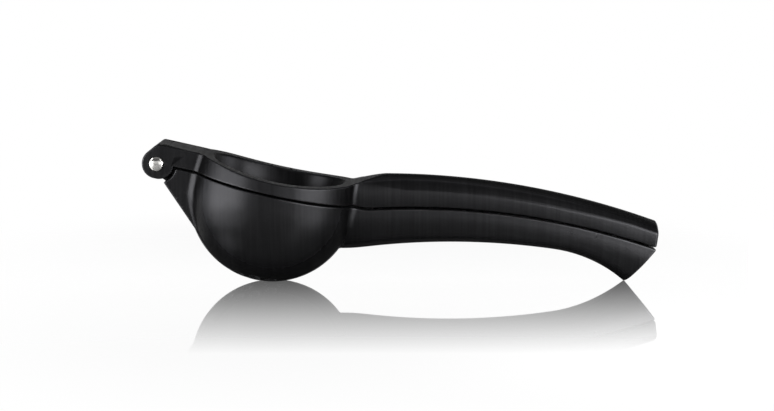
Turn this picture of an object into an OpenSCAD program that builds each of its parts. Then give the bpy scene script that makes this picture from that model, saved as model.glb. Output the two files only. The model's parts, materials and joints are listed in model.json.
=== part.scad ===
// Hinged lemon squeezer: two cast levers that turn on one steel rivet.
// The lower lever is a bowl with juice holes, a hinge tongue and a handle.
// The upper lever is a ring with a hollow round plunger, two hinge ears and a handle.
// Both stand closed on a table: the bowl's bottom and the lower handle's tip touch Z = 0.
// +X runs from the hinge to the handles' end, +Z is up, and the levers are symmetric about Y = 0.
// The origin is on the table, in the middle of the outline.

/* [Bowl] */
// Outside diameter of the bowl
bowl_d = 70; // [62:1:80]
// Thickness of the bowl's wall
bowl_wall = 3.4; // [2.4:0.1:4.4]
// Height of the straight wall between the bowl's round bottom and its rim
rim_rise = 5.3; // [4:0.1:8]
// Slope of the rim, which falls from the hinge towards the handle, in degrees
rim_slope = 12.6; // [9:0.1:15]
// Gap between the closed levers
lever_gap = 0.6; // [0.4:0.1:1.2]
// Diameter of each juice hole
hole_d = 3.6; // [2.5:0.1:4.5]
// Distance between neighbouring rings of juice holes
hole_pitch = 6.8; // [6:0.1:8]
// Number of rings of juice holes around the middle hole
hole_rings = 2; // [1:1:3]

/* [Plunger and ring] */
// Gap at the side between the plunger and the bowl, where the rind goes
rind_gap = 3.7; // [3:0.1:5]
// Distance of the plunger's round centre below the rim
plunger_drop = 1.5; // [0.5:0.1:3]
// Thickness of the plunger's wall
plunger_wall = 2.8; // [2:0.1:4]
// Slope of the widening mouth of the dish, in degrees
mouth_slope = 31; // [15:1:45]
// Height above the rim where the mouth of the dish starts to widen
mouth_start = 3.2; // [2:0.1:4]
// Step of the ring's side inside the bowl's side
ring_step = 0.2; // [0:0.1:0.6]
// Height of the ring's lowest top edge above the dip between the ring and the handle
saddle_h = 10.4; // [9:0.1:12]
// Length of the flat between the ring's scoop and the foot of the ramp
saddle_run = 0.5; // [0.2:0.1:3]
// Slope of the scoop's steep stretch, in degrees
scoop_slope = 20.3; // [18:0.1:22]
// Radius of the soft break between the hinge block and the scoop
break_r = 20; // [12:1:26]
// Slope of the ramp from the ring up to the handle, in degrees
ramp_slope = 15; // [12:0.5:20]
// Radius of the hollow at the foot of the ramp
ramp_r = 8; // [6:0.5:12]

/* [Hinge] */
// Distance from the bowl's side to the middle of the rivet
hinge_reach = 14.65; // [13:0.05:18]
// Diameter of the rivet's shank
rivet_d = 4; // [3:0.1:5]
// Running clearance around the shank in the tongue
rivet_play = 0.05; // [0.02:0.01:0.1]
// Diameter of the rivet's heads
head_d = 5.6; // [5.2:0.1:7]
// Height of the rivet's heads
head_h = 1.5; // [1:0.1:2.4]
// Radius of the ears around the rivet
ear_r = 6.2; // [5.5:0.1:7]
// Width of the hinge block and the gusset
hinge_w = 25; // [21:0.5:28]
// Thickness of the tongue
tongue_w = 9.6; // [7:0.1:11]
// Clearance on each side of the tongue
tongue_play = 0.3; // [0.2:0.05:0.5]
// Clearance between the ears' round ends and the gusset
ear_play = 2; // [1.5:0.1:2.4]
// Height of the hinge block's top above the rim
block_h = 8.2; // [7.6:0.1:9.5]
// Distance of the hinge block's top corner behind the middle of the rivet
corner_back = 1.1; // [0.5:0.1:2]
// Distance that the ears' round ends are drawn out towards the bowl
ear_slide = 0.9; // [0.5:0.1:1.5]
// Slope of the gusset's lower edge, in degrees
gusset_slope = 56.5; // [50:0.5:62]
// Radius of the hollow corner where the hinge block and the gusset meet the bowl
root_r = 4.5; // [3:0.1:6]

/* [Handles] */
// Distance from the bowl's centre to the handles' end
handle_end = 160.8; // [150:0.1:172]
// Width of the handles at the bowl
handle_w = 22; // [19:0.5:25]
// Width of the handles at their end
handle_end_w = 23; // [19:0.5:27]
// Distance from the bowl's side to the dip where the rim meets the handle
dip_reach = 4.3; // [3:0.1:6]
// Distance from the dip to the highest point of the line between the handles
crest_reach = 19; // [15:0.5:25]
// Radius of the bow of the line between the handles
parting_bow = 315; // [280:1:340]
// Height of the upper handle's crown above the dip
upper_h = 13.7; // [12.5:0.1:16]
// Radius of the bow of the upper handle's top
upper_bow = 330; // [310:1:360]
// Distance from the dip to the crown of the upper handle
crown_reach = 7.2; // [5:0.1:10]
// Lean of the upper handle's end face
end_lean = 1.3; // [0:0.1:2]
// Height of the lower handle under the crest of the line between the handles
lower_h = 14.9; // [13.5:0.1:16.5]
// Distance from the bowl's centre to the thinnest place of the lower handle
waist_x = 77; // [72:0.5:82]
// Radius of the bow of the lower handle's underside
lower_bow = 300; // [270:1:330]
// Distance from the bowl's centre to the place where the underside turns down to the tip
turn_x = 120; // [115:0.5:124]
// Radius of the underside's turn down to the tip
turn_bow = 51.5; // [48:0.5:58]
// Width of the flat along the upper handle's crown
crown_flat = 3; // [1:0.5:8]
// Width of the flat along the lower handle's underside
sole_flat = 9; // [6:0.5:12]
// Thickness of the handles' walls
handle_wall = 3; // [2.4:0.1:4]
// Radius of the hollow corner where the handles meet the bowl
heel_r = 4; // [3:0.1:6]

/* [Hidden] */
$fn = 96;

// Corner powers of the two handle sections: 2 is an ellipse, more is squarer
crown_power = 2.3;
sole_power = 2.3;
// Steps around a handle's section, along a handle and along an arc of an outline
around_steps = 16;
along_steps = 26;
arc_steps = 10;
// A length that is past every edge of the part, for cuts
far = 400;
// How far solids that are joined run into each other
bite = 2;
// How far the arc of a hollow corner runs into the two walls that it joins
lap = 0.03;
// Draft of the handle pockets: each share is a place across the pocket and its depth there
pocket_across = [1, 0.94, 0.82, 0.5];
pocket_depth = [0, 0.6, 0.92, 1];
// Length of each sloping pocket end
pocket_ramp = 3;

bowl_r = bowl_d / 2;
cavity_r = bowl_r - bowl_wall;
plunger_r = cavity_r - rind_gap;
dish_r = plunger_r - plunger_wall;
ring_r = bowl_r - ring_step;
half_hinge = hinge_w / 2;
half_handle = handle_w / 2;
half_end = handle_end_w / 2;
half_gap = lever_gap / 2;
// Height of the ring before its top is cut to shape
ring_stock = 2 * block_h;
relief_r = ear_r + ear_play;
knuckle_r = ear_r - 0.2;

// The levers meet in a plane that slopes down from the hinge and passes through the rivet.
function rim_point(u, w) = [
    u * cos(rim_slope) + (rim_rise + w) * sin(rim_slope),
    bowl_r - u * sin(rim_slope) + (rim_rise + w) * cos(rim_slope)
];
function rim_z(x) = bowl_r + rim_rise / cos(rim_slope) - x * tan(rim_slope);
rivet_u = -(bowl_r + hinge_reach);
rivet_at = rim_point(rivet_u, 0);

// Past the dip, the line between the handles is one long bow.
function sag(bow, run) = bow - sqrt(bow * bow - run * run);
dip_x = bowl_r + dip_reach;
crest_x = dip_x + crest_reach;
crest_z = rim_z(dip_x) + sag(parting_bow, crest_reach);
function parting_z(x) = x < dip_x ? rim_z(x) : crest_z - sag(parting_bow, x - crest_x);

// Top of the upper handle.
crown_x = dip_x + crown_reach;
crown_z = rim_z(dip_x) + upper_h;
function top_z(x) = crown_z - sag(upper_bow, x - crown_x);
saddle_z = rim_z(dip_x) + saddle_h;

// Underside of the lower handle: a long bow, then a tight turn down to the tip on the table.
waist_z = crest_z - lower_h;
turn_z = waist_z - sag(lower_bow, turn_x - waist_x);
turn_deg = asin((turn_x - waist_x) / lower_bow);
turn_centre = [turn_x - turn_bow * sin(turn_deg), turn_z - turn_bow * cos(turn_deg)];
tip_x = turn_centre.x + sqrt(turn_bow * turn_bow - turn_centre.y * turn_centre.y);
function under_z(x) = x < turn_x
    ? waist_z - sag(lower_bow, x - waist_x)
    : turn_centre.y + sqrt(turn_bow * turn_bow - pow(min(x, tip_x) - turn_centre.x, 2));

// The origin is in the middle of the outline.
middle_x = (rivet_at.x - ear_r + handle_end + end_lean) / 2;

// ---- helpers ----

function mix(a, b, t) = a + (b - a) * t;

// Arc that rounds the corner b of the path a, b, c with radius r.
function corner(a, b, c, r) = let (
    to_a = (a - b) / norm(a - b),
    to_c = (c - b) / norm(c - b),
    half = acos(to_a * to_c) / 2,
    axis = (to_a + to_c) / norm(to_a + to_c),
    centre = b + axis * r / sin(half),
    sweep = 90 - half,
    side = sign(to_a.x * to_c.y - to_a.y * to_c.x)
) [for (i = [-arc_steps : 2 : arc_steps])
    let (turn = -side * sweep * i / arc_steps)
    centre - r * [axis.x * cos(turn) - axis.y * sin(turn), axis.x * sin(turn) + axis.y * cos(turn)]];

// Draws in the sloping rim frame: x runs along the rim towards the handle, z is square to the rim.
module on_rim() translate([rim_point(0, 0).x, 0, rim_point(0, 0).y]) rotate([0, rim_slope, 0]) children();

// Turns a side view outline into a slab of the given width.
module slab(width) rotate([90, 0, 0]) linear_extrude(width, center = true) children();

// Round body under the rim plane: a half ball whose centre is drop below the rim, with a straight neck.
module cup(r, drop, neck) on_rim() translate([0, 0, -drop]) rotate_extrude() {
    intersection() {
        circle(r);
        translate([0, -r]) square([r, r]);
    }
    square([r, drop + neck]);
}

// Plan of the hollow corner between a round body and a straight arm, on the arm's +Y side.
// The arm runs along +X, and half is its half width.
module root_plan(r, half, hollow) {
    apart = r + hollow - lap;
    rise = half + hollow - lap;
    reach = sqrt(apart * apart - rise * rise);
    touch = r / apart * [reach, rise];
    difference() {
        polygon([[touch.x - bite, half - bite], [touch.x - bite, touch.y - bite / 2], touch, [reach, half],
            [reach, half - bite]]);
        translate([reach, rise]) circle(hollow);
    }
}

// Both hollow corners of an arm, low to high in the rim frame. way = 1 is the handle, -1 the hinge.
module roots(r, half, hollow, way, low, high) on_rim() translate([0, 0, low])
    linear_extrude(high - low) for (side = [0, 1])
        mirror([0, side, 0]) mirror([way < 0 ? 1 : 0, 0, 0]) root_plan(r, half, hollow);

// One handle: a channel with a round back. It is a strip of sections between the line where the
// handles meet (base) and the back. Each section is flat, and depth opens the pocket in the base.
module handle(base, back, half, flat, power, pocket) {
    count = len(base);
    outer = [for (k = [0 : around_steps])
        let (a = 180 * k / around_steps, c = cos(a))
        [sign(c) * pow(abs(c), 2 / power), pow(sin(a), 2 / power)]];
    last = len(pocket_across) - 1;
    inner = concat(
        [for (k = [0 : last]) [-pocket_across[k], pocket_depth[k]]],
        [for (k = [last : -1 : 0]) [pocket_across[k], pocket_depth[k]]]);
    ring = len(outer) + len(inner);
    points = [for (i = [0 : count - 1])
        let (rise = back[i] - base[i], high = norm(rise), edge = flat / 2)
        each concat(
            [for (p = outer) let (q = base[i] + rise * p.y)
                [q.x, (abs(p.x) < 0.001 ? 0 : sign(p.x) * edge) + p.x * (half[i] - edge), q.y]],
            [for (p = inner) let (q = base[i] + rise * p.y * pocket[i] * (high - handle_wall) / high)
                [q.x, p.x * (half[i] - handle_wall), q.y]])];
    walls = [for (i = [0 : count - 2], j = [0 : ring - 1])
        let (a = i * ring + j, b = i * ring + (j + 1) % ring)
        each [[a, b, b + ring], [a, b + ring, a + ring]]];
    crown = around_steps / 2;
    start = [for (j = [0 : ring - 1]) (crown + ring - j) % ring];
    end = [for (j = [0 : ring - 1]) (count - 1) * ring + (crown + j) % ring];
    flip = back[0].y > base[0].y;
    faces = concat([start], walls, [end]);
    polyhedron(points, !flip ? faces : [for (f = faces) [for (k = [len(f) - 1 : -1 : 0]) f[k]]]);
}

// Places of the sections along a handle, with close pairs at the two pocket ends.
function places(length, first, final) = let (
    a = first / length,
    b = final / length,
    slope = pocket_ramp / length
) concat([0, a / 2, a],
    [for (i = [0 : along_steps]) mix(a + slope, b - slope, i / along_steps)],
    [b, 1]);
function pocket_open(t, length, first, final) = t * length > first + 0.01 && t * length < final - 0.01 ? 1 : 0;

// ---- lower lever ----

// Side view of the gusset: from the rivet down its sloping edge to the bowl.
module gusset_side() {
    centre = [0, bowl_r];
    down = [cos(gusset_slope), -sin(gusset_slope)];
    inset = sqrt(bowl_r * bowl_r - half_hinge * half_hinge);
    foot = centre + inset * [down.y, -down.x];
    head = foot + down * ((rivet_at - foot) * down);
    polygon([rim_point(rivet_u, -half_gap), rim_point(0, -half_gap), centre, foot, head]);
}

module gusset() {
    difference() {
        union() {
            slab(hinge_w) gusset_side();
            intersection() {
                slab(far) gusset_side();
                roots(bowl_r, half_hinge, root_r, -1, -bowl_r, -half_gap);
            }
        }
        for (side = [-1, 1])
            translate([rivet_at.x, side * (tongue_w / 2 + hinge_w / 2), rivet_at.y])
                slab(hinge_w) circle(relief_r);
    }
    translate([rivet_at.x, 0, rivet_at.y]) slab(tongue_w) circle(knuckle_r);
}

module lower_handle() {
    root_x = bowl_r - bowl_wall;
    length = handle_end - root_x;
    first = dip_x + handle_wall - root_x;
    final = length - handle_wall;
    stops = places(length, first, final);
    foot_x = root_x - 2 * bowl_wall;
    base = [for (t = stops) let (x = mix(root_x, handle_end, t)) [x, parting_z(x) - half_gap]];
    back = [for (t = stops) let (x = mix(foot_x, tip_x, t)) [x, under_z(x)]];
    half = [for (t = stops) mix(half_handle, half_end, t)];
    pocket = [for (t = stops) pocket_open(t, length, first, final)];
    handle(base, back, half, sole_flat, sole_power, pocket);
}

module juice_holes() {
    depth = bowl_r + rim_rise;
    on_rim() translate([0, 0, -depth - bite]) {
        cylinder(d = hole_d, h = depth);
        for (ring = [1 : hole_rings], k = [0 : 6 * ring - 1])
            rotate(k * 60 / ring) translate([ring * hole_pitch, 0, 0]) cylinder(d = hole_d, h = depth);
    }
}

module lower_lever() color("#1c1c1e") difference() {
    union() {
        cup(bowl_r, rim_rise, -half_gap);
        gusset();
        lower_handle();
        roots(bowl_r, half_handle, heel_r, 1, -rim_rise, -half_gap);
    }
    cup(cavity_r, rim_rise, bite);
    juice_holes();
    translate([rivet_at.x, 0, rivet_at.y]) slab(far) circle(d = rivet_d + 2 * rivet_play);
}

// ---- upper lever ----

block_corner = rim_point(rivet_u - corner_back, block_h);
to_corner = block_corner - rivet_at;
ear_lean = atan2(to_corner.y, to_corner.x) + acos(ear_r / norm(to_corner));
ear_touch = rivet_at + ear_r * [cos(ear_lean), sin(ear_lean)];

// Side view of the hinge block: a sloping back that runs into the ears' round ends, and a flat top.
module block_side() {
    inside = -ring_r + bite;
    polygon([
        rim_point(rivet_u, half_gap), ear_touch, mix(ear_touch, block_corner, 1.3),
        rim_point(inside, block_h + bite), rim_point(inside, half_gap)
    ]);
}

// Side view of the space over the hinge block, the scooped ring and the ramp to the handle.
module over_top() {
    block_start = rim_point(rivet_u - 2 * ear_r, block_h);
    block_end = rim_point(-ring_r + 2, block_h);
    bend = [block_end.x + (block_end.y - saddle_z) / tan(scoop_slope), saddle_z];
    ramp_run = (crown_z - saddle_z) / tan(ramp_slope);
    ramp_foot = [crown_x - ramp_run, saddle_z];
    ramp_end = ramp_foot + 1.5 * [ramp_run, crown_z - saddle_z];
    scoop_run = ramp_foot.x - bend.x - ramp_r * tan(ramp_slope / 2) - saddle_run;
    polygon(concat(
        [block_start],
        corner(block_start, block_end, bend, break_r),
        corner(block_end, bend, ramp_foot, scoop_run / tan(scoop_slope / 2)),
        corner(bend, ramp_foot, ramp_end, ramp_r),
        [ramp_end, [ramp_end.x, bowl_d + block_h], [block_start.x, bowl_d + block_h]]));
}

module ears() {
    for (along = [0, ear_slide])
        translate([rivet_at.x + along * cos(rim_slope), 0, rivet_at.y - along * sin(rim_slope)])
            slab(hinge_w) circle(ear_r);
}

module upper_handle() {
    root_x = ring_r - bowl_wall;
    length = handle_end - root_x;
    first = dip_x + handle_wall - root_x;
    final = length - handle_wall;
    stops = places(length, first, final);
    base = [for (t = stops) let (x = mix(root_x, handle_end, t)) [x, parting_z(x) + half_gap]];
    back = [for (t = stops) let (x = mix(root_x, handle_end + end_lean, t)) [x, top_z(x)]];
    half = [for (t = stops) mix(half_handle, half_end, t)];
    pocket = [for (t = stops) pocket_open(t, length, first, final)];
    handle(base, back, half, crown_flat, crown_power, pocket);
}

module upper_lever() color("#1c1c1e") difference() {
    union() {
        difference() {
            union() {
                on_rim() translate([0, 0, half_gap]) cylinder(r = ring_r, h = ring_stock);
                slab(hinge_w) block_side();
                roots(ring_r, half_hinge, root_r, -1, half_gap, ring_stock);
                roots(ring_r, half_handle, heel_r, 1, half_gap, ring_stock);
                upper_handle();
            }
            slab(far) over_top();
        }
        ears();
        cup(plunger_r, plunger_drop, half_gap + bite);
    }
    cup(dish_r, plunger_drop, bowl_r);
    on_rim() translate([0, 0, mouth_start])
        cylinder(r1 = dish_r, r2 = dish_r + ring_stock * tan(mouth_slope), h = ring_stock);
    translate([rivet_at.x, 0, rivet_at.y]) {
        slab(tongue_w + 2 * tongue_play) circle(relief_r - 1);
        slab(far) circle(d = rivet_d);
    }
}

// ---- rivet ----

module hinge_rivet() color("#d8d8d6") translate([rivet_at.x, 0, rivet_at.y]) {
    slab(hinge_w) circle(d = rivet_d);
    for (side = [0, 1])
        mirror([0, side, 0]) translate([0, half_hinge, 0]) rotate([-90, 0, 0]) rotate_extrude()
            intersection() {
                ball_r = (pow(head_d / 2, 2) + head_h * head_h) / (2 * head_h);
                translate([0, head_h - ball_r]) circle(ball_r);
                square([head_d / 2, head_h]);
            }
}

translate([-middle_x, 0, 0]) {
    lower_lever();
    upper_lever();
    hinge_rivet();
}
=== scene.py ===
# %% [markdown]
# # A hinged lemon squeezer
#
# The tool is made of three pieces: two aluminium castings with a satin black coating, and one
# polished steel rivet that they turn on. The castings are what the eye sees, so most of this
# lesson is about them. Molten metal doesn't fill sharp corners well, so every place where two
# forms of a casting meet is a soft hollow. Such hollows could be bevelled into a model of
# boxes and balls, but here many forms meet at odd angles. The lesson builds the castings as
# fields of distances instead, where the hollows come for free, and turns them into meshes.

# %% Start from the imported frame
import json

import bmesh
import bpy
import numpy as np
from mathutils import Matrix, Vector


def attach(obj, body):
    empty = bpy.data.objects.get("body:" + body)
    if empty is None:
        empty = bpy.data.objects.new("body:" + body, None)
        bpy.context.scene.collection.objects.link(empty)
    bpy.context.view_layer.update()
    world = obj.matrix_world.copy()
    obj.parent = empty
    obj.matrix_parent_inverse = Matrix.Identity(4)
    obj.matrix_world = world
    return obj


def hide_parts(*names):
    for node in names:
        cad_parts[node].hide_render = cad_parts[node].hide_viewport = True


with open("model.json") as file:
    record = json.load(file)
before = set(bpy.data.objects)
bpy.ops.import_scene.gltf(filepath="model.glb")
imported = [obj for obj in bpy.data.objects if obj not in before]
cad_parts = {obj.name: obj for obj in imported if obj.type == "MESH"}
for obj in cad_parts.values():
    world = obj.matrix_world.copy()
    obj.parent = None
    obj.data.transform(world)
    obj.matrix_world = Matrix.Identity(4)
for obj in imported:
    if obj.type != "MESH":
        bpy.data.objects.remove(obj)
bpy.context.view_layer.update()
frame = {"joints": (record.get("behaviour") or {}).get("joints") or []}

# %% [markdown]
# ## The sizes
#
# The sizes are in millimetres, from the middle of the bowl and from the table, as on a
# workshop drawing. The two levers meet in a sloping plane that passes through the rivet, so
# most round forms are drawn in a tilted view where that plane is level. The frame says where
# the rivet is, and that ties the drawing to it.

# %% Sizes of the bowl and the hinge
MM = 0.001
BOWL_R = 35.0         # outside of the bowl
BOWL_WALL = 3.4
RIM_RISE = 5.3        # from the bowl's centre up to the rim plane
RIM_SLOPE = np.radians(12.6)
HINGE_REACH = 14.65   # from the bowl's wall to the rivet
HALF_GAP = 0.3        # each lever stays this far from the surface between them
EDGE_R = 0.6          # rounding of most outer edges
COS, SIN, TAN = np.cos(RIM_SLOPE), np.sin(RIM_SLOPE), np.tan(RIM_SLOPE)


def rim_point(along, above):
    """Side view place of a point given along the rim line and square to it."""
    up = RIM_RISE + above
    return np.array([along * COS + up * SIN, BOWL_R - along * SIN + up * COS])


RIVET_ALONG = -(BOWL_R + HINGE_REACH)
RIVET = rim_point(RIVET_ALONG, 0.0)
hinge = frame["joints"][0]["pos_m"]
MIDDLE_X = RIVET[0] - hinge[0] / MM
print("rivet at", np.round(RIVET, 3), "mm, frame origin at x =", round(MIDDLE_X, 3), "mm")

# %% [markdown]
# ## The camera
#
# The tool is seen straight from its side, from a little above the table, because that view
# shows the whole curve of both handles. A long lens from further away keeps the handles from
# shrinking towards their end.

# %% Camera
AIM_X, AIM_Z = 48.2, 32.0
EYE_RAISE = np.radians(7.3)
EYE_DISTANCE = 0.820
LENS, SENSOR = 90.4, 36.0

aim = Vector((AIM_X - MIDDLE_X, 0.0, AIM_Z)) * MM
eye_data = bpy.data.cameras.new("camera")
eye_data.lens, eye_data.sensor_width = LENS, SENSOR
eye = bpy.data.objects.new("camera", eye_data)
bpy.context.scene.collection.objects.link(eye)
eye.location = aim + EYE_DISTANCE * Vector((0.0, -np.cos(EYE_RAISE), np.sin(EYE_RAISE)))
eye.rotation_euler = (aim - eye.location).to_track_quat("-Z", "Y").to_euler()
bpy.context.scene.camera = eye
print("camera at", tuple(round(c, 3) for c in eye.location))

# %% [markdown]
# ## Soft joints between forms
#
# A field gives the distance from any point to a form, negative inside. The smaller of two
# distances joins two forms, and the larger one keeps what they share. Both leave a sharp
# corner, so these two helpers replace the corner by a quarter circle of a given radius.

# %% Joining and cutting with a radius
def join(a, b, radius):
    """Both forms, with a hollow corner of that radius where they meet."""
    corner = np.hypot(np.maximum(radius - a, 0), np.maximum(radius - b, 0))
    return np.maximum(radius, np.minimum(a, b)) - corner


def keep(a, b, radius):
    """What both forms share, with its edge rounded to that radius."""
    corner = np.hypot(np.maximum(radius + a, 0), np.maximum(radius + b, 0))
    return np.minimum(-radius, np.maximum(a, b)) + corner


print("rounded to 1 mm, a square edge draws back", round(float(keep(0.0, 0.0, 1.0)), 3), "mm")

# %% [markdown]
# ## What a point knows
#
# Nearly every form of the tool is either round about the bowl's tilted axis or plain in side
# view. So each cloud of points is measured once: along the rim line, above the rim plane,
# from the bowl's axis and from the rivet. The forms then need one short formula each. Long
# curves are arcs of large circles, as a pattern maker would draw them.

# %% Places, long arcs and round bottoms
class Places:
    """A cloud of points, with the measures that the forms ask for. Both halves are alike,
    so y is the distance from the middle plane."""

    def __init__(self, points):
        self.x, self.y, self.z = points[:, 0], np.abs(points[:, 1]), points[:, 2]
        lift = self.z - BOWL_R
        self.along = self.x * COS - lift * SIN
        self.above = self.x * SIN + lift * COS - RIM_RISE
        self.round = np.hypot(self.along, self.y)
        self.pin = np.hypot(self.x - RIVET[0], self.z - RIVET[1])


def drop_of(bow, run):
    """How far a circle of radius bow has fallen at a distance run from its highest point."""
    return bow - np.sqrt(np.maximum(bow * bow - run * run, 1e-6))


def cup(at, radius, deep):
    """A round bottom whose centre is deep below the rim plane, with a straight neck above."""
    return np.hypot(at.round, np.minimum(at.above + deep, 0)) - radius


under_bowl = Places(np.array([[0.0, 0.0, 0.0]]))
print("distance of the bowl from the table:", np.round(cup(under_bowl, BOWL_R, RIM_RISE), 3))

# %% [markdown]
# ## The line between the handles
#
# The levers touch along the rim plane and then along one long bow, with a shallow dip between
# the two. Every height on the handles is measured from this line, so both levers follow it
# and never run into each other.

# %% Line between the levers
HANDLE_END = 160.8
DIP_X = 39.3
CREST_X = DIP_X + 19.0
PARTING_BOW = 315.0
PARTING_RUN = (-60, 130)   # the arc is followed this far to each side of its crest
DIP_Z = BOWL_R + RIM_RISE / COS - DIP_X * TAN
CREST_Z = DIP_Z + drop_of(PARTING_BOW, CREST_X - DIP_X)
DIP_SOFT = 0.35


def above_parting(at):
    """Distance above the surface where the levers meet. The dip is a soft valley."""
    run = np.clip(at.x - CREST_X, *PARTING_RUN)
    bow = (at.z - CREST_Z + drop_of(PARTING_BOW, run)) * np.sqrt(1 - (run / PARTING_BOW) ** 2)
    return 0.5 * (at.above + bow - np.hypot(at.above - bow, DIP_SOFT))


def parting_z(x):
    """Height of the line on the handles."""
    return CREST_Z - drop_of(PARTING_BOW, x - CREST_X)


print("line at the handles' end:", round(parting_z(HANDLE_END), 2), "mm above the table")

# %% [markdown]
# ## The lower handle
#
# The handle is a channel: a flank, a belly with a round shoulder between them, and a hollow
# that faces the other handle and saves metal. Its belly is one long arc that turns into a
# tighter one, and its end is cut at a slant down to the tip that it stands on. The belly runs
# a little below the tip's corner, so that the corner, once rounded, just touches the table.

# %% Lower handle
HANDLE_HALF, HANDLE_HALF_END = 11.0, 11.5
HANDLE_WALL = 3.0
LOWER_BOW, LOWER_RUN = 300.0, (-120, 60)
WAIST_X, WAIST_Z = 77.0, CREST_Z - 15.3
TURN_X, TURN_BOW = 118.0, 56.7
TIP_X = 148.7
BELLY_HALF, BELLY_SAG = 10, 260
FLANK_TOP, FLANK_SAG = 2.5, 30
BELLY_SHOULDER_R = 4.0
turn_z = WAIST_Z - drop_of(LOWER_BOW, TURN_X - WAIST_X)
turn_lean = np.arcsin((TURN_X - WAIST_X) / LOWER_BOW)
TURN_C = np.array([TURN_X - TURN_BOW * np.sin(turn_lean), turn_z - TURN_BOW * np.cos(turn_lean)])
print("belly turns at z =", round(turn_z, 2), "mm, and the tip is at x =", TIP_X, "mm")


def half_width(x):
    """Both handles widen a little towards their end."""
    share = np.clip((x - BOWL_R) / (HANDLE_END - BOWL_R), 0, 1)
    return HANDLE_HALF + share * (HANDLE_HALF_END - HANDLE_HALF)


def line_side(at, start, end):
    """Distance in side view from the line start to end, positive on its right."""
    way = (end - start) / np.hypot(*(end - start))
    return (at.x - start[0]) * way[1] - (at.z - start[1]) * way[0]


def lower_handle(at, depth):
    """The whole bar without its ends, and the slanting end."""
    run = np.clip(at.x - WAIST_X, *LOWER_RUN)
    level = np.sqrt(1 - (run / LOWER_BOW) ** 2)
    long_bow = (WAIST_Z - drop_of(LOWER_BOW, run) - at.z) * level
    turn = TURN_BOW - np.hypot(at.x - TURN_C[0], at.z - TURN_C[1])
    belly = np.where(at.x < TURN_X, long_bow, turn) + np.minimum(at.y, BELLY_HALF) ** 2 / BELLY_SAG
    flank = at.y - half_width(at.x) + np.maximum(depth - FLANK_TOP, 0) ** 2 / FLANK_SAG
    top = np.array([HANDLE_END, parting_z(HANDLE_END) - HALF_GAP])
    return keep(flank, belly, BELLY_SHOULDER_R), line_side(at, np.array([TIP_X, 0.0]), top)


# %% [markdown]
# ## Gusset, tongue and juice holes
#
# On the hinge's side a flat gusset carries the load from the rivet into the bowl. Its lower
# edge touches the bowl, and its upper corner is cut away in a round for the ears of the other
# lever. Between the ears stands the narrow tongue with the rivet's bore. The holes that let
# the juice out stand in rings in the bowl's floor.

# %% Gusset and tongue
HINGE_HALF = 12.5
TONGUE_HALF, TONGUE_R = 4.8, 6.0
EAR_ROOM_R = 8.2
GUSSET_SLOPE = np.radians(56.5)
GUSSET_EDGE_R, TONGUE_EDGE_R = 0.8, 0.5


def gusset(at):
    """The plate with its round cut, the tongue, and the distance below the slanting edge."""
    down = np.array([np.cos(GUSSET_SLOPE), -np.sin(GUSSET_SLOPE)])
    touch = np.sqrt(BOWL_R ** 2 - HINGE_HALF ** 2)
    under = at.x * down[1] - (at.z - BOWL_R) * down[0] - touch
    left = -((at.x - RIVET[0]) * down[0] + (at.z - RIVET[1]) * down[1])
    right = at.x * down[0] + (at.z - BOWL_R) * down[1]
    plate = keep(np.maximum(under, left), at.y - HINGE_HALF, GUSSET_EDGE_R)
    ear_room = -np.maximum(at.pin - EAR_ROOM_R, TONGUE_HALF - at.y)
    plate = keep(np.maximum(plate, right), ear_room, TONGUE_EDGE_R)
    return plate, keep(at.pin - TONGUE_R, at.y - TONGUE_HALF, TONGUE_EDGE_R), under


print("gusset", 2 * HINGE_HALF, "mm wide, tongue", 2 * TONGUE_HALF, "mm wide")

# %% Juice holes
HOLE_R, HOLE_PITCH, HOLE_RINGS = 1.8, 6.8, 2
HOLE_EDGE_R = 0.4


def hole_places():
    """Middles of the holes with y >= 0, in rings of 1, 6 and 12 in all."""
    places = []
    for ring in range(HOLE_RINGS + 1):
        for k in range(max(1, 6 * ring)):
            angle = np.pi / 3 * k / max(ring, 1)
            if np.sin(angle) > -0.01:
                places.append(ring * HOLE_PITCH * np.array([np.cos(angle), np.sin(angle)]))
    return places


def juice_holes(along, y):
    """Distance from the wall of the nearest hole."""
    nearest = np.full(len(along), 1e3)
    for place in hole_places():
        nearest = np.minimum(nearest, np.hypot(along - place[0], y - place[1]) - HOLE_R)
    return nearest


print("holes in this half:", len(hole_places()))

# %% [markdown]
# ## The lower lever as one field
#
# Bowl, handle and gusset melt together first, then the rim plane cuts them, so the rim's edge
# is the same all round. The hollows between the forms grow tight where a form runs out into
# the bowl's round, as a pattern maker's fillet does. Everything that is empty is cut out last.

# %% Lower lever
HEEL_DEPTHS, HEEL_RADII = [8.5, 12.5], [2.6, 0.8]
ROOT_DEPTHS, ROOT_RADII = [-6, -0.5], [2.6, 0.8]
NECK_DEPTHS, NECK_RADII = [-5, -3], [0.6, 3.0]
TIP_R = 0.5
INNER_RIM_R = 0.7
POCKET_START, POCKET_R = DIP_X + HANDLE_WALL, 1.5
TONGUE_BORE_R = 2.05
FLOOR_ABOVE, FLOOR_ROUND = -25, 17   # the bowl's floor, where the holes are


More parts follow.
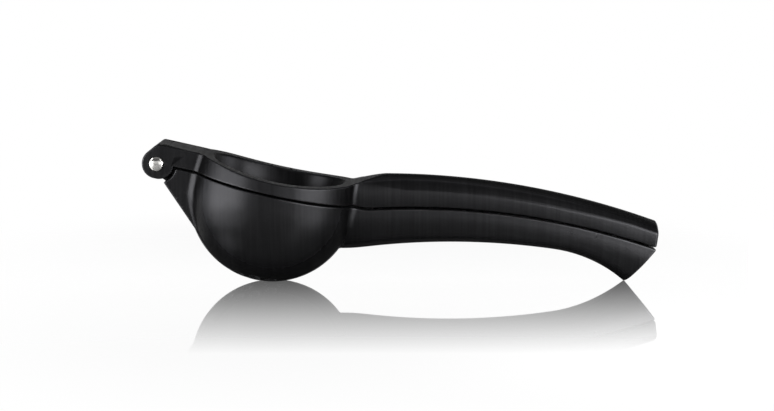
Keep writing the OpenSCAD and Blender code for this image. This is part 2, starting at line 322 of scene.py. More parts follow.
def lower_lever(points):
    """Distance from the surface of the lower lever, negative in the metal."""
    at = Places(points)
    depth = -above_parting(at) - HALF_GAP
    plate, tongue, under = gusset(at)
    bar, end = lower_handle(at, depth)
    arm = np.maximum(keep(bar, end, TIP_R), -at.x)
    body = join(cup(at, BOWL_R, RIM_RISE), arm, np.interp(depth, HEEL_DEPTHS, HEEL_RADII))
    body = join(body, plate, np.interp(under, ROOT_DEPTHS, ROOT_RADII))
    body = keep(body, -depth, EDGE_R)
    body = join(body, tongue, np.interp(under, NECK_DEPTHS, NECK_RADII))
    # hollows
    body = keep(body, -cup(at, BOWL_R - BOWL_WALL, RIM_RISE), INNER_RIM_R)
    pocket = keep(np.maximum(bar, end) + HANDLE_WALL, POCKET_START - at.x, POCKET_R)
    body = keep(body, -pocket, EDGE_R)
    body = np.maximum(body, TONGUE_BORE_R - at.pin)
    low = (at.above < FLOOR_ABOVE) & (at.round < FLOOR_ROUND)
    body[low] = keep(body[low], -juice_holes(at.along[low], at.y[low]), HOLE_EDGE_R)
    return body


middle_of_bowl = np.array([[0.0, 0.0, BOWL_R]])
print("free room around the middle of the bowl:", np.round(lower_lever(middle_of_bowl), 2), "mm")

# %% [markdown]
# ## The top of the upper lever
#
# The upper lever is a flat hinge block, a ring whose top scoops down in a long curve, a hollow
# round plunger that hangs from the ring, and the upper handle. The ring's top and the ramp up
# to the handle are one path in side view. It is drawn as straight runs, and an arc that
# touches both runs takes the place of each bend.

# %% Path over the top of the upper lever
UPPER_BOW, UPPER_RUN = 338.0, (-40, 130)
CROWN_X, CROWN_Z = DIP_X + 7.2, DIP_Z + 14.0
SADDLE_Z = DIP_Z + 10.4
BLOCK_H = 8.2
RING_R = 34.8
SCOOP_SLOPE, RAMP_SLOPE = np.radians(20.3), np.radians(15)
RAMP_R, BREAK_R = 8.0, 20.0
BEHIND_RIVET, ONTO_RING = 12, 2   # the block's flat top, from behind the rivet to the ring
SADDLE_FLAT = 0.5                 # straight left between the two arcs in the saddle
ARC_STEPS, PATH_STEP = 400, 0.25


def with_arcs(points, radii):
    """The path through the points, each bend an arc of its radius."""
    path = [points[0]]
    for a, b, c, radius in zip(points, points[1:], points[2:], radii):
        back, on = (a - b) / np.hypot(*(a - b)), (c - b) / np.hypot(*(c - b))
        half = np.arccos(back @ on) / 2
        axis = (back + on) / np.hypot(*(back + on))
        side = np.sign(back[0] * on[1] - back[1] * on[0])
        for turn in np.linspace(side, -side, ARC_STEPS) * (np.pi / 2 - half):
            spoke = np.array([axis[0] * np.cos(turn) - axis[1] * np.sin(turn),
                              axis[0] * np.sin(turn) + axis[1] * np.cos(turn)])
            path.append(b + axis * radius / np.sin(half) - radius * spoke)
    return np.array(path + [points[-1]])


path_start = rim_point(RIVET_ALONG - BEHIND_RIVET, BLOCK_H)
block_end = rim_point(-RING_R + ONTO_RING, BLOCK_H)
bend = np.array([block_end[0] + (block_end[1] - SADDLE_Z) / np.tan(SCOOP_SLOPE), SADDLE_Z])
ramp = np.array([(CROWN_Z - SADDLE_Z) / np.tan(RAMP_SLOPE), CROWN_Z - SADDLE_Z])
ramp_foot = np.array([CROWN_X, CROWN_Z]) - ramp
scoop_run = ramp_foot[0] - bend[0] - RAMP_R * np.tan(RAMP_SLOPE / 2) - SADDLE_FLAT
scoop_r = scoop_run / np.tan(SCOOP_SLOPE / 2)
top_path = with_arcs([path_start, block_end, bend, ramp_foot, ramp_foot + 3 * ramp],
                     [BREAK_R, scoop_r, RAMP_R])
TOP_X = np.arange(top_path[0, 0], top_path[-1, 0], PATH_STEP)
TOP_Z = np.interp(TOP_X, top_path[:, 0], top_path[:, 1])
TOP_COS = 1 / np.hypot(1, np.gradient(TOP_Z, TOP_X))
print("path over the top:", len(TOP_X), "steps, scoop of radius", round(scoop_r, 1), "mm")

# %% [markdown]
# ## Handle and hinge of the upper lever
#
# The upper handle has a domed lid instead of a belly, and a flank that swells a little at
# half height, which gives it a soft highlight along its length. The block's back slopes down
# and runs into the ears' round ends without a break, so its slope is worked out from the
# circle that it has to touch.

# %% Upper handle
FLANK_MIDDLE, FLANK_SWELL = 5.5, 34
DOME_R, DOME_HALF = 19.0, 10.5
OVER_RING_X, OVER_RING_RISE = 38, 1.2   # lifts the lid off the ring, where the path rules
END_LEAN = 1.3


def upper_handle(at, height):
    """Flank, domed lid and slanting end of the upper handle."""
    flank = at.y - half_width(at.x) + (height - FLANK_MIDDLE) ** 2 / FLANK_SWELL
    run = np.clip(at.x - CROWN_X, *UPPER_RUN)
    dome = np.minimum(at.y, DOME_HALF) ** 2 / (2 * DOME_R)
    crown = CROWN_Z - drop_of(UPPER_BOW, run) - dome
    over_ring = np.maximum(OVER_RING_X - at.x, 0) * OVER_RING_RISE
    lid = (at.z - crown - over_ring) * np.sqrt(1 - (run / UPPER_BOW) ** 2)
    foot = np.array([HANDLE_END, parting_z(HANDLE_END) + HALF_GAP])
    head_z = CROWN_Z - drop_of(UPPER_BOW, HANDLE_END - CROWN_X)
    return flank, lid, line_side(at, foot, np.array([HANDLE_END + END_LEAN, head_z]))


# %% Back of the hinge block
CORNER_BACK = 1.1
EAR_R = 6.2


def hinge_back(at):
    """Sloping back of the hinge block, which runs into the ears' round ends."""
    corner = rim_point(RIVET_ALONG - CORNER_BACK, BLOCK_H) - RIVET
    lean = np.arctan2(corner[1], corner[0]) + np.arccos(EAR_R / np.hypot(*corner))
    back = (at.x - RIVET[0]) * np.cos(lean) + (at.z - RIVET[1]) * np.sin(lean) - EAR_R
    behind = (at.z - RIVET[1]) * np.cos(lean) - (at.x - RIVET[0]) * np.sin(lean)
    return np.maximum(back, behind)


print("ears", 2 * EAR_R, "mm high, block", BLOCK_H, "mm above the rim plane")

# %% [markdown]
# ## The upper lever as one field
#
# The walls of ring, handle and block melt together in plan, and the path and the lid cut them
# from above. The ring's wall leans in a little, as every wall does that has to leave a mould.
# The plunger hangs from the ring as a round cup, and its dish opens upwards in a cone with a
# soft mouth. Pocket, slot and bore are cut out last.

# %% Upper lever
DRAFT = np.radians(4.8)
TOP_ROOT_R, TOP_HEEL_R = 2.0, 2.0
SHOULDER_X, SHOULDER_RADII = [42, 56, 125, 150], [0.6, 3.2, 3.2, 1.8]
END_FROM_X, END_R = 120, 1.0
EAR_DRAWN = 0.9        # the ears are drawn out this far towards the ring
PLUNGER_R, DISH_R, PLUNGER_DROP, PLUNGER_ROOT_R = 27.9, 25.1, 1.5, 1.2
PLUNGER_TO, MOUTH_FROM = 2, 1   # heights above the rim plane
MOUTH_SLOPE, MOUTH_START, MOUTH_R, MOUTH_EDGE_R = np.radians(31), 3.2, 4.0, 0.8
POCKET_EDGE_R = 0.9
SLOT_R, SLOT_PLAY, SLOT_EDGE_R = 7.2, 0.3, 0.4
EAR_BORE_R = 2.0


def upper_walls(at, height, flank, side):
    """Ring, handle and hinge block in plan."""
    ring = (at.round - RING_R + np.maximum(height, 0) * np.tan(DRAFT)) * np.cos(DRAFT)
    walls = join(ring, np.maximum(flank, -at.x), TOP_HEEL_R)
    walls = join(walls, np.maximum(side, at.x), TOP_ROOT_R)
    return keep(walls, hinge_back(at), EDGE_R)


def dish(at):
    """The room inside the plunger."""
    cone = at.round - DISH_R - (at.above - MOUTH_START) * np.tan(MOUTH_SLOPE)
    cone = np.maximum(cone * np.cos(MOUTH_SLOPE), MOUTH_FROM - at.above)
    return join(cup(at, DISH_R, PLUNGER_DROP), cone, MOUTH_R)


def upper_lever(points):
    """Distance from the surface of the upper lever, negative in the metal."""
    at = Places(points)
    height = above_parting(at) - HALF_GAP
    flank, lid, end = upper_handle(at, height)
    side = at.y - HINGE_HALF
    over = (at.z - np.interp(at.x, TOP_X, TOP_Z)) * np.interp(at.x, TOP_X, TOP_COS)
    shoulder = np.interp(at.x, SHOULDER_X, SHOULDER_RADII)
    body = keep(upper_walls(at, height, flank, side), keep(over, lid, EDGE_R), shoulder)
    body = keep(body, -height, EDGE_R)
    body = np.where(at.x > END_FROM_X, keep(body, end, END_R), body)
    drawn = np.hypot(at.x - RIVET[0] - EAR_DRAWN * COS, at.z - RIVET[1] + EAR_DRAWN * SIN)
    body = np.minimum(body, keep(np.minimum(at.pin, drawn) - EAR_R, side, EDGE_R))
    plunger = np.maximum(cup(at, PLUNGER_R, PLUNGER_DROP), at.above - PLUNGER_TO)
    body = keep(join(body, plunger, PLUNGER_ROOT_R), -dish(at), MOUTH_EDGE_R)
    # pocket of the handle, slot for the tongue, bore
    inside = np.maximum(keep(flank, lid, POCKET_EDGE_R), end) + HANDLE_WALL
    body = keep(body, -keep(inside, POCKET_START - at.x, POCKET_R), EDGE_R)
    slot = np.maximum(at.pin - SLOT_R, at.y - TONGUE_HALF - SLOT_PLAY)
    body = keep(body, -slot, SLOT_EDGE_R)
    return np.maximum(body, EAR_BORE_R - at.pin)


print("plunger's wall:", round(PLUNGER_R - DISH_R, 2), "mm")

# %% [markdown]
# ## From a field to a mesh
#
# The space around a lever is filled with a grid. Each grid cell that the surface passes gets
# one vertex, and each grid edge that it crosses gets one quad between the four cells around it.
# Blender can also mesh a volume, but it would round off the small edges. Only the blocks of
# cells near the surface are worked out, since the rest of the space holds nothing.

# %% Field values near the surface
BLOCK = 8
AT_ONCE = 2000   # blocks worked out in one go, to save memory


def near_surface(field, start, counts, step):
    """Field values on the grid. Blocks far from the surface share one value."""
    blocks = [c // BLOCK for c in counts]
    place = np.stack(np.meshgrid(*[np.arange(b) for b in blocks], indexing="ij"), -1)
    place = place.reshape(-1, 3)
    value = field(start + (place * BLOCK + (BLOCK - 1) / 2) * step)
    grid = value.reshape(blocks).astype(np.float32)
    for axis in range(3):
        grid = np.repeat(grid, BLOCK, axis)
    # a block's corner is 0.87 blocks from its middle, and soft joints bend the distances
    near = place[np.abs(value) < BLOCK * step * 1.1 + 0.5]
    inside = np.stack(np.meshgrid(*[np.arange(BLOCK)] * 3, indexing="ij"), -1).reshape(-1, 3)
    for first in range(0, len(near), AT_ONCE):
        cell = (near[first:first + AT_ONCE, None] * BLOCK + inside).reshape(-1, 3)
        grid[tuple(cell.T)] = field(start + cell * step)
    return grid


# %% Vertices in the cells, quads around the crossed edges
CORNERS = np.array([[i, j, k] for i in (0, 1) for j in (0, 1) for k in (0, 1)])


def cell_vertices(grid, cells):
    """Mean of the places where the surface crosses the edges of each cell."""
    value = np.stack([grid[tuple((cells + c).T)] for c in CORNERS], 1)
    total, times = np.zeros((len(cells), 3)), np.zeros((len(cells), 1))
    for a in range(8):
        for b in range(a + 1, 8):
            if np.abs(CORNERS[a] - CORNERS[b]).sum() == 1:
                cross = (value[:, a] < 0) != (value[:, b] < 0)
                share = value[cross, a] / (value[cross, a] - value[cross, b])
                total[cross] += CORNERS[a] + share[:, None] * (CORNERS[b] - CORNERS[a])
                times[cross] += 1
    return cells + total / times


def edge_quads(solid, number):
    """The four cells around each grid edge that the surface crosses, seen from outside."""
    quads = []
    for axis in range(3):
        one, two = (axis + 1) % 3, (axis + 2) % 3
        edge = np.argwhere(np.diff(solid.astype(np.int8), axis=axis) != 0)
        edge = edge[(edge[:, one] > 0) & (edge[:, two] > 0)]
        ring = []
        for i, j in ((1, 1), (0, 1), (0, 0), (1, 0)):
            cell = edge.copy()
            cell[:, one] -= i
            cell[:, two] -= j
            ring.append(number[tuple(cell.T)])
        ring = np.stack(ring, 1)
        inward = ~solid[tuple(edge.T)]
        ring[inward] = ring[inward][:, ::-1]
        quads.append(ring)
    return np.concatenate(quads)


# %% Net of quads over a field
def net(field, low, high, step):
    """Vertices and quads of the half with y >= 0, and which vertices lie in the middle plane."""
    start = np.array([low[0], -step / 2, low[2]])
    counts = [int(np.ceil((high[i] - start[i]) / step / BLOCK) + 1) * BLOCK for i in range(3)]
    grid = near_surface(field, start, counts, step)
    solid = grid < 0
    part = [slice(0, -1), slice(1, None)]
    filled = sum(solid[part[i], part[j], part[k]].astype(np.int8) for i, j, k in CORNERS)
    cells = np.argwhere((filled > 0) & (filled < 8))
    number = np.full([c - 1 for c in counts], -1, np.int32)
    number[tuple(cells.T)] = np.arange(len(cells))
    quads = edge_quads(solid, number)
    return start + cell_vertices(grid, cells) * step, quads, cells[:, 1] == 0


# %% [markdown]
# ## Laying the net on the surface
#
# The vertices of the net are only near the surface, which would show as ripples in a glossy
# coating. The slope of the field says which way the surface is, and the field says how far.
# After three such steps nearly all points lie on it to a thousandth of a millimetre.

# %% Slope of a field, and sliding points onto its surface
SLIDES, LONGEST_SLIDE, LEAST_SLOPE = 3, 0.3, 0.05


def slope(field, points, reach=0.02):
    """Which way the field grows, from two samples along each axis."""
    rows = []
    for axis in np.eye(3) * reach:
        rows.append((field(points + axis) - field(points - axis)) / (2 * reach))
    return np.stack(rows, 1)


def settle(field, points, middle=np.zeros(0, int)):
    """Slides points onto the surface. Those in the middle plane stay in it."""
    for _ in range(SLIDES):
        way = slope(field, points)
        step = field(points) / np.maximum((way * way).sum(1), LEAST_SLOPE)
        points = points - way * np.clip(step, -LONGEST_SLIDE, LONGEST_SLIDE)[:, None]
        points[middle, 1] = 0
    return points


above_rim = settle(lower_lever, np.array([[0.0, BOWL_R - BOWL_WALL / 2, BOWL_R + RIM_RISE]]))
print("a point near the rim settles at", np.round(above_rim[0], 2))

# %% [markdown]
# ## Making the two castings
#
# Half of each lever is worked out and the other half is its mirror image. The net is as fine on
# a plain flank as on a small radius, so the Decimate modifier then takes away the quads that
# bend nothing, and the thinned mesh is laid on the field once more. The shading normals come
# from the field itself, so a highlight runs over the surface without showing the triangles.
#
# The thinning also folds a few hundred triangles over. Their corners stay where it left them,
# a few thousandths of a millimetre from the surface at most. That doesn't mend the folds, and
# one or two of them show as a faint mark on the lower handle.

# %% Both halves as one net
GRID_STEP = 0.4


def whole_net(name, field, low, high):
    """A mesh object of the whole lever, in metres in the frame."""
    points, quads, middle = net(field, low, high, GRID_STEP)
    points = settle(field, points, middle)
    twin = np.arange(len(points))
    twin[~middle] = len(points) + np.arange((~middle).sum())
    points = np.concatenate([points, points[~middle] * [1, -1, 1]])
    quads = np.concatenate([quads, twin[quads][:, ::-1]])
    mesh = bpy.data.meshes.new(name)
    mesh.from_pydata(((points - [MIDDLE_X, 0, 0]) * MM).tolist(), [], quads.tolist())
    piece = bpy.data.objects.new(name, mesh)
    bpy.context.scene.collection.objects.link(piece)
    print(name, "starts with", len(quads), "quads")
    return piece


# %% Thinning, and triangles that it folds
TRIANGLES = 190000
PASSES = 3
LEAST_FACING = 0.6   # mean cosine between a triangle and the field's slope at its corners


def thin_out(piece):
    """Keeps about TRIANGLES triangles, most of them where the surface bends."""
    thin = piece.modifiers.new("thin", "DECIMATE")
    thin.ratio = TRIANGLES / (2 * len(piece.data.polygons))
    thin.use_symmetry, thin.symmetry_axis = True, "Y"
    seen = piece.evaluated_get(bpy.context.evaluated_depsgraph_get())
    mesh = bpy.data.meshes.new_from_object(seen)
    piece.modifiers.clear()
    piece.data = mesh
    return mesh


def put_back(mesh, points, before, normals):
    """Puts the corners of triangles that stand at an angle to the surface back to where they
    were before, and prints how many such triangles each pass finds."""
    mesh.calc_loop_triangles()
    corners = np.empty(3 * len(mesh.loop_triangles), int)
    mesh.loop_triangles.foreach_get("vertices", corners)
    corners = corners.reshape(-1, 3)
    for count in range(PASSES):
        a, b, c = points[corners].transpose(1, 0, 2)
        out = np.cross(b - a, c - a)
        facing = (out * normals[corners].sum(axis=1)).sum(axis=1)
        turned = facing < LEAST_FACING * 3 * np.linalg.norm(out, axis=1)
        points[corners[turned]] = before[corners[turned]]
        print("pass", count + 1, "finds", turned.sum(), "triangles at an angle")


# %% [markdown]
# ## Edges and holes as an attribute
#
# The coating is a little paler on outer edges, and dull inside the holes where no belt
# reaches. A material can't find such places by itself, so each vertex is told. On an outer
# edge most of a point's surroundings are empty, so the mean distance of six neighbours is
# above 0 there, and below 0 in a hollow.

# %% Sharpness of the edges
EDGE_REACH = 0.7
HOLE_MARGIN = 0.8


def sharpness(field, points):
    """Above 0 on an outer edge, below 0 in a hollow, 0 on the bowl's floor, -1 in a hole."""
    steps = np.concatenate([np.eye(3), -np.eye(3)]) * EDGE_REACH
    mean = sum(field(points + step) for step in steps) / (6 * EDGE_REACH)
    at = Places(points)
    low = at.above < FLOOR_ABOVE
    hole = low & (juice_holes(at.along, at.y) < HOLE_MARGIN) & (field is lower_lever)
    return np.select([hole, low], [-1.0, 0.0], mean)


# %% Castings
def casting(name, field, low, high):
    """A lever as a finished mesh. Low and high are the corners of the room it needs."""
    piece = whole_net(name, field, low, high)
    mesh = thin_out(piece)
    places = np.empty(3 * len(mesh.vertices))
    mesh.vertices.foreach_get("co", places)
    before = places.reshape(-1, 3) / MM + [MIDDLE_X, 0, 0]
    points = settle(field, before)
    normals = slope(field, points)
    normals /= np.linalg.norm(normals, axis=1)[:, None]
    put_back(mesh, points, before, normals)
    mesh.vertices.foreach_set("co", ((points - [MIDDLE_X, 0, 0]) * MM).ravel())
    mesh.polygons.foreach_set("use_smooth", np.ones(len(mesh.polygons), bool))
    edge = mesh.attributes.new("edge", "FLOAT", "POINT")
    edge.data.foreach_set("value", sharpness(field, points).astype(np.float32))
    mesh.normals_split_custom_set_from_vertices(normals.tolist())
    print(name, "has", len(points), "vertices and", len(mesh.polygons), "faces")
    print("furthest from the surface:", round(float(np.abs(field(points)).max()), 4), "mm")
    return piece


lower = casting("lower_casting", lower_lever, (-57, 0, -1.6), (165, 36, 60))
upper = casting("upper_casting", upper_lever, (-57, 0, 8), (165, 36, 63))

# %% [markdown]
# ## Small helpers for materials
#
# A material is a tree of nodes. Built by hand, each node takes several lines, so a few helpers
# add a node, set or link its sockets, and hand back the output that the next one needs.

# %% Node helpers
def add(tree, kind, **settings):
    node = tree.nodes.new(kind)
    for name, value in settings.items():
        setattr(node, name, value)
    return node


def feed(tree, socket, value):
    """Sets a socket, or links another node's output to it."""
    if isinstance(value, bpy.types.NodeSocket):
        tree.links.new(value, socket)
    else:
        socket.default_value = value


def calc(tree, kind, a, b=0.0, clamp=False):
    """One step of arithmetic."""
    node = add(tree, "ShaderNodeMath", operation=kind, use_clamp=clamp)
    feed(tree, node.inputs[0], a)
    feed(tree, node.inputs[1], b)
    return node.outputs[0]


def spread(tree, value, low, high, to_low, to_high, smooth=False):
    """Maps a value from one range to another."""
    kind = "SMOOTHSTEP" if smooth else "LINEAR"
    node = add(tree, "ShaderNodeMapRange", interpolation_type=kind)
    for socket, given in zip(node.inputs, (value, low, high, to_low, to_high)):
        feed(tree, socket, given)
    return node.outputs[0]


# %% Noise, bumps and new materials
def noise(tree, where, scale, detail, stretch=(1.0, 1.0, 1.0)):
    """Noise that is drawn out along every way whose stretch is below 1."""
    mapping = add(tree, "ShaderNodeMapping")
    feed(tree, mapping.inputs["Vector"], where)
    mapping.inputs["Scale"].default_value = stretch
    node = add(tree, "ShaderNodeTexNoise")
    feed(tree, node.inputs["Vector"], mapping.outputs[0])
    node.inputs["Scale"].default_value = scale
    node.inputs["Detail"].default_value = detail
    return node.outputs["Fac"]


def bumps(tree, shader, height, strength, distance):
    """Lets a height tilt the surface for the eye."""
    bump = add(tree, "ShaderNodeBump")
    bump.inputs["Strength"].default_value = strength
    bump.inputs["Distance"].default_value = distance
    feed(tree, bump.inputs["Height"], height)
    feed(tree, shader.inputs["Normal"], bump.outputs[0])


def new_material(name):
    material = bpy.data.materials.new(name)
    material.use_nodes = True
    return material, material.node_tree, material.node_tree.nodes["Principled BSDF"]


# %% [markdown]
# ## The satin black coating
#
# The castings are linished, which leaves fine lines across them, and then coated. A dark metallic
# shader stands for the thin black skin on metal: all that is seen of it is its reflection. The
# specular tint darkens that reflection at a shallow angle, as the fine roughness of a satin skin
# does. Noise that is squeezed across the tool and drawn out along the other ways makes the
# lines, and a larger noise makes the skin a little uneven.

# %% Lines, patches, grain and worn edges
COAT_COLOUR = (0.0176, 0.0176, 0.0186)
WORN_COLOUR = (0.032, 0.032, 0.034)
LINE_TONE = 0.14     # how much the lines lighten and darken the coat
LINE_ROUGH, PATCH_ROUGH = 0.04, 0.025

coating, tree, shader = new_material("satin_black_coating")
where = add(tree, "ShaderNodeTexCoord").outputs["Object"]
lines = noise(tree, where, 1100.0, 3.0, (1.0, 0.03, 0.03))
patches = noise(tree, where, 90.0, 4.0)
grain = noise(tree, where, 2600.0, 2.0)
edge = add(tree, "ShaderNodeAttribute", attribute_name="edge").outputs["Fac"]
on_edge = spread(tree, edge, 0.04, 0.16, 0.0, 1.0, True)
worn = calc(tree, "MULTIPLY", on_edge, spread(tree, patches, 0.35, 0.6, 0.2, 1.0))
print("textures of the coating:", len(tree.nodes), "nodes")

# %% Colour of the coating
skin = add(tree, "ShaderNodeMix", data_type="RGBA")
feed(tree, skin.inputs["Factor"], spread(tree, lines, 0.3, 0.7, 0.0, 1.0))
skin.inputs["A"].default_value = (*((1 - LINE_TONE) * c for c in COAT_COLOUR), 1)
skin.inputs["B"].default_value = (*((1 + LINE_TONE) * c for c in COAT_COLOUR), 1)
tone = add(tree, "ShaderNodeMix", data_type="RGBA")
feed(tree, tone.inputs["Factor"], worn)
feed(tree, tone.inputs["A"], skin.outputs["Result"])
tone.inputs["B"].default_value = (*WORN_COLOUR, 1)
feed(tree, shader.inputs["Base Color"], tone.outputs["Result"])
print("coat:", COAT_COLOUR, "worn edges:", WORN_COLOUR)

# %% Gloss of the coating
COAT_METAL, COAT_ROUGH, HOLE_ROUGH = 0.88, 0.35, 0.95
IN_HOLE, OUT_OF_HOLE = -0.9, -0.5   # the edge attribute is -1 in a hole

feed(tree, shader.inputs["Metallic"], spread(tree, edge, IN_HOLE, OUT_OF_HOLE, 0.0, COAT_METAL))
shader.inputs["Specular IOR Level"].default_value = 0.25
shader.inputs["Specular Tint"].default_value = (0.1, 0.1, 0.105, 1)
rough = calc(tree, "ADD", spread(tree, lines, 0.3, 0.7, -LINE_ROUGH, LINE_ROUGH),
             spread(tree, patches, 0.3, 0.7, -PATCH_ROUGH, PATCH_ROUGH))
base_rough = spread(tree, edge, IN_HOLE, OUT_OF_HOLE, HOLE_ROUGH, COAT_ROUGH)
feed(tree, shader.inputs["Roughness"], calc(tree, "ADD", rough, base_rough))
fine = calc(tree, "ADD", lines, calc(tree, "MULTIPLY", grain, 0.35))
bumps(tree, shader, fine, 0.5, 0.00002)
for piece, node in ((lower, "lower_lever"), (upper, "upper_lever")):
    piece.data.materials.append(coating)
    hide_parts(node)
    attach(piece, node)
    print(piece.name, "is coated and rides on", node)

# %% [markdown]
# ## The rivet
#
# A steel pin goes through the ears and the tongue, and both ends are formed into low domes. The
# shape is a lathe form, so it is drawn as half an outline and spun around the pin's own line.
# A ball and a cylinder would leave a seam between head and shank, and the outline doesn't.

# %% Outline of the rivet
HEAD_R, HEAD_RISE, SHANK_R = 3.1, 1.55, 1.98
BRIM_IN, BRIM_UP = 0.15, 0.18   # small slant around the foot of a head
DOME_FULL = 0.9                 # below 1, the dome is fuller than a half circle


def rivet_outline():
    """Distance from the axis and along it, from the middle to the top of one head."""
    brim = HINGE_HALF + BRIM_UP
    outline = [(SHANK_R, 0.0), (SHANK_R, HINGE_HALF), (HEAD_R - BRIM_IN, HINGE_HALF)]
    outline.append((HEAD_R, brim))
    for angle in np.radians(np.arange(10, 90, 8)):
        up = brim + (HEAD_RISE - BRIM_UP) * np.sin(angle)
        outline.append((HEAD_R * np.cos(angle) ** DOME_FULL, up))
    return outline + [(0.0, HINGE_HALF + HEAD_RISE)]


print("rivet's length:", round(2 * rivet_outline()[-1][1], 2), "mm")


# %% Spinning the outline
def lathe(name, outline, steps=72):
    """Spins the outline about the hinge line and mirrors it at the middle plane."""
    shape = bmesh.new()
    rings = []
    for out, up in outline:
        turns = np.arange(steps) * 2 * np.pi / steps if out else [0.0]
        spots = [(out * np.cos(t) * MM, up * MM, out * np.sin(t) * MM) for t in turns]
        rings.append([shape.verts.new(spot) for spot in spots])
    for a, b in zip(rings, rings[1:]):
        for k in range(steps):
            corners = [a[k % len(a)], b[k % len(b)], b[(k + 1) % len(b)], a[(k + 1) % len(a)]]
            shape.faces.new(list(dict.fromkeys(corners)))
    half = list(shape.faces)
    twin = bmesh.ops.duplicate(shape, geom=list(shape.verts) + half)["geom"]
    for vert in (g for g in twin if isinstance(g, bmesh.types.BMVert)):
        vert.co.y = -vert.co.y
    bmesh.ops.remove_doubles(shape, verts=shape.verts, dist=1e-7)
    bmesh.ops.recalc_face_normals(shape, faces=shape.faces)
    mesh = bpy.data.meshes.new(name)
    shape.to_mesh(mesh)
    shape.free()
    mesh.polygons.foreach_set("use_smooth", np.ones(len(mesh.polygons), bool))
    mesh.transform(Matrix.Translation(Vector(hinge)))
    piece = bpy.data.objects.new(name, mesh)
    bpy.context.scene.collection.objects.link(piece)
    return piece


rivet = lathe("rivet", rivet_outline())
print("rivet:", len(rivet.data.polygons), "faces")

# %% [markdown]
# ## Polished steel
#
# The heads are bright, but a forming tool has left them slightly uneven, with fine scratches
# from polishing. A larger noise dents the surface a little, which breaks up the reflection,
# and a finer one roughens it.

# %% Polished steel
steel, tree, shader = new_material("polished_steel")
where = add(tree, "ShaderNodeTexCoord").outputs["Object"]
shader.inputs["Base Color"].default_value = (0.50, 0.49, 0.475, 1)
shader.inputs["Metallic"].default_value = 1.0
scratches = noise(tree, where, 900.0, 5.0, (1.0, 1.0, 0.25))
feed(tree, shader.inputs["Roughness"], spread(tree, scratches, 0.3, 0.7, 0.13, 0.22))
dents = noise(tree, where, 520.0, 2.0)
bumps(tree, shader, calc(tree, "ADD", dents, calc(tree, "MULTIPLY", scratches, 0.15)), 0.6, 0.00012)
rivet.data.materials.append(steel)
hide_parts("hinge_rivet")
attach(rivet, "upper_lever")
print("the rivet rides on the upper lever and turns in the tongue")

# %% [markdown]
# ## The table
#
# The tool stands on a white table top with a polished surface. Near the tool it keeps the
# shadow and mirrors at a shallow angle, and the mirror image fades towards the front.
# Further away the table glows a little for the eye and for reflections, so it is plain white
# without more light on the tool.

# %% White table top
TABLE_COLOUR = (0.6, 0.6, 0.6)
GLOW_NEAR, GLOW_FAR, GLOW_LEAST = 0.10, 0.28, 0.82   # metres from the tool's middle
PLAIN_FROM, PLAIN_TO = 0.40, 0.80

bpy.ops.mesh.primitive_plane_add(size=60)
floor = bpy.context.object
floor.name = "floor"
table, tree, shader = new_material("white_table")
shader.inputs["Base Color"].default_value = (*TABLE_COLOUR, 1)
shader.inputs["Roughness"].default_value = 0.9
shader.inputs["Specular IOR Level"].default_value = 0.0
place = add(tree, "ShaderNodeNewGeometry").outputs["Position"]
distance = add(tree, "ShaderNodeVectorMath", operation="LENGTH")
feed(tree, distance.inputs[0], place)
away = distance.outputs["Value"]
path = add(tree, "ShaderNodeLightPath")
by_eye, by_gloss = path.outputs["Is Camera Ray"], path.outputs["Is Glossy Ray"]
mirrored = calc(tree, "MAXIMUM", by_gloss, path.outputs["Is Transmission Ray"])
white = add(tree, "ShaderNodeEmission")
feed(tree, white.inputs["Strength"], calc(tree, "MAXIMUM", by_eye, mirrored))
glow = spread(tree, away, GLOW_NEAR, GLOW_FAR, GLOW_LEAST, 1.0, True)
far = calc(tree, "MAXIMUM", calc(tree, "MULTIPLY", by_eye, glow),
           spread(tree, away, PLAIN_FROM, PLAIN_TO, 0.0, 1.0, True))
plain = add(tree, "ShaderNodeMixShader")
for socket, given in zip(plain.inputs, (far, shader.outputs[0], white.outputs[0])):
    feed(tree, socket, given)
print("the table is plain white from", PLAIN_TO, "m")

# %% Polish of the table
MIRROR_SHARE, MIRROR_REACH, MIRROR_FADE = 0.87, 0.153, 1.42
SHALLOW_FROM, SHALLOW_TO = 0.745, 0.79
POLISH_IN_GLOSS = 0.5   # the tool sees a weaker mirror in the table than the eye does

split = add(tree, "ShaderNodeSeparateXYZ")
feed(tree, split.inputs[0], place)
across = calc(tree, "DIVIDE", calc(tree, "ABSOLUTE", split.outputs["Y"]), MIRROR_REACH)
near = calc(tree, "SUBTRACT", 1.0, calc(tree, "POWER", across, MIRROR_FADE), True)
facing = add(tree, "ShaderNodeLayerWeight")
facing.inputs["Blend"].default_value = 0.5
shallow = spread(tree, facing.outputs["Facing"], SHALLOW_FROM, SHALLOW_TO, 0.0, 1.0, True)
polish = calc(tree, "MAXIMUM", shallow, calc(tree, "MULTIPLY", by_gloss, POLISH_IN_GLOSS))
mirror = add(tree, "ShaderNodeBsdfGlossy")
mirror.inputs["Roughness"].default_value = 0.02
mirror.inputs["Color"].default_value = (1, 1, 1, 1)
share = calc(tree, "MULTIPLY", calc(tree, "MULTIPLY", near, polish), MIRROR_SHARE)
mix = add(tree, "ShaderNodeMixShader")
for socket, given in zip(mix.inputs, (share, plain.outputs[0], mirror.outputs[0])):
    feed(tree, socket, given)
feed(tree, tree.nodes["Material Output"].inputs["Surface"], mix.outputs[0])
floor.data.materials.append(table)
print("the mirror fades out", MIRROR_REACH, "m from the tool's middle plane")

# %% [markdown]
# ## The light
#
# Black gloss shows only what it reflects. Large soft boxes stand on the table's level around
# the tool, two raised ones look down on the hollow of the upper lever, and one hangs overhead.
# A low white wall runs all round behind them. Only the eye and reflections see that wall, so it
# puts no light on the tool. Above it the studio is dark, and a little lighter overhead.

# %% Studio walls
WALL_TOP, WALL_END = 0.26, 0.34
CEILING_FROM, CEILING_TO = 0.35, 0.8
CEILING_DIM, CEILING_BRIGHT = 0.05, 0.28

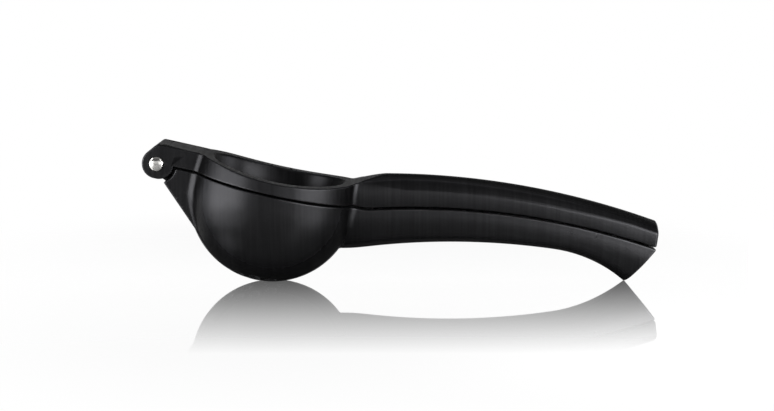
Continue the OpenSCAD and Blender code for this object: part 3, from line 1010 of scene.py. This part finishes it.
world = bpy.data.worlds.new("studio")
bpy.context.scene.world = world
world.use_nodes = True
tree = world.node_tree
split = add(tree, "ShaderNodeSeparateXYZ")
feed(tree, split.inputs[0], add(tree, "ShaderNodeTexCoord").outputs["Generated"])
up = split.outputs["Z"]
path = add(tree, "ShaderNodeLightPath")
seen = calc(tree, "MAXIMUM", path.outputs["Is Glossy Ray"], path.outputs["Is Transmission Ray"])
seen = calc(tree, "MAXIMUM", path.outputs["Is Camera Ray"], seen)
wall = calc(tree, "MULTIPLY", spread(tree, up, WALL_TOP, WALL_END, 1.0, 0.0, True), seen)
ceiling = spread(tree, up, CEILING_FROM, CEILING_TO, CEILING_DIM, CEILING_BRIGHT, True)
background = tree.nodes["Background"]
feed(tree, background.inputs["Strength"], spread(tree, wall, 0.0, 1.0, ceiling, 1.0))
background.inputs["Color"].default_value = (1, 1, 1, 1)
print("studio:", len(tree.nodes), "nodes")


# %% Soft boxes
def soft_box(name, facing_x, azimuth, distance, width, tall, radiance):
    """A soft box that stands on the table and faces the tool at facing_x."""
    data = bpy.data.lights.new(name, "AREA")
    data.shape = "RECTANGLE"
    data.size, data.size_y = width, tall
    data.energy = radiance * np.pi * width * tall
    box = bpy.data.objects.new(name, data)
    bpy.context.scene.collection.objects.link(box)
    turn = np.radians(azimuth)
    box.location = (facing_x + distance * np.sin(turn), -distance * np.cos(turn), tall / 2)
    box.rotation_euler = (np.pi / 2, 0, turn)
    box.visible_camera = False
    print(name, "gives", round(data.energy, 2), "W")
    return box


BOWL_X = -0.054   # the bowl's place in the frame, in metres
soft_box("left_soft_box", BOWL_X, -65, 0.30, 0.30, 0.12, 9.4)
soft_box("right_soft_box", BOWL_X, 54, 0.27, 0.19, 0.12, 9.2)
soft_box("front_soft_box", 0.09, 0, 0.32, 0.24, 0.11, 1.3)
soft_box("back_left_soft_box", BOWL_X, -122, 0.32, 0.26, 0.12, 6.0)
soft_box("back_right_soft_box", -0.02, 120, 0.32, 0.24, 0.12, 6.0)

# %% Raised boxes
raised = [
    (soft_box("upper_left_soft_box", BOWL_X, -84, 0.40, 0.24, 0.14, 6.5), 0.33, 60),
    (soft_box("upper_right_soft_box", BOWL_X, 40, 0.40, 0.14, 0.14, 3.2), 0.33, 60),
    (soft_box("overhead_soft_box", 0.02, 180, 0.28, 0.5, 0.25, 2.2), 0.5, 30),
]
for box, height, tilt in raised:
    box.location.z = height
    box.rotation_euler.x = np.radians(tilt)

bpy.context.scene.view_settings.view_transform = "Standard"
print("view transform:", bpy.context.scene.view_settings.view_transform)
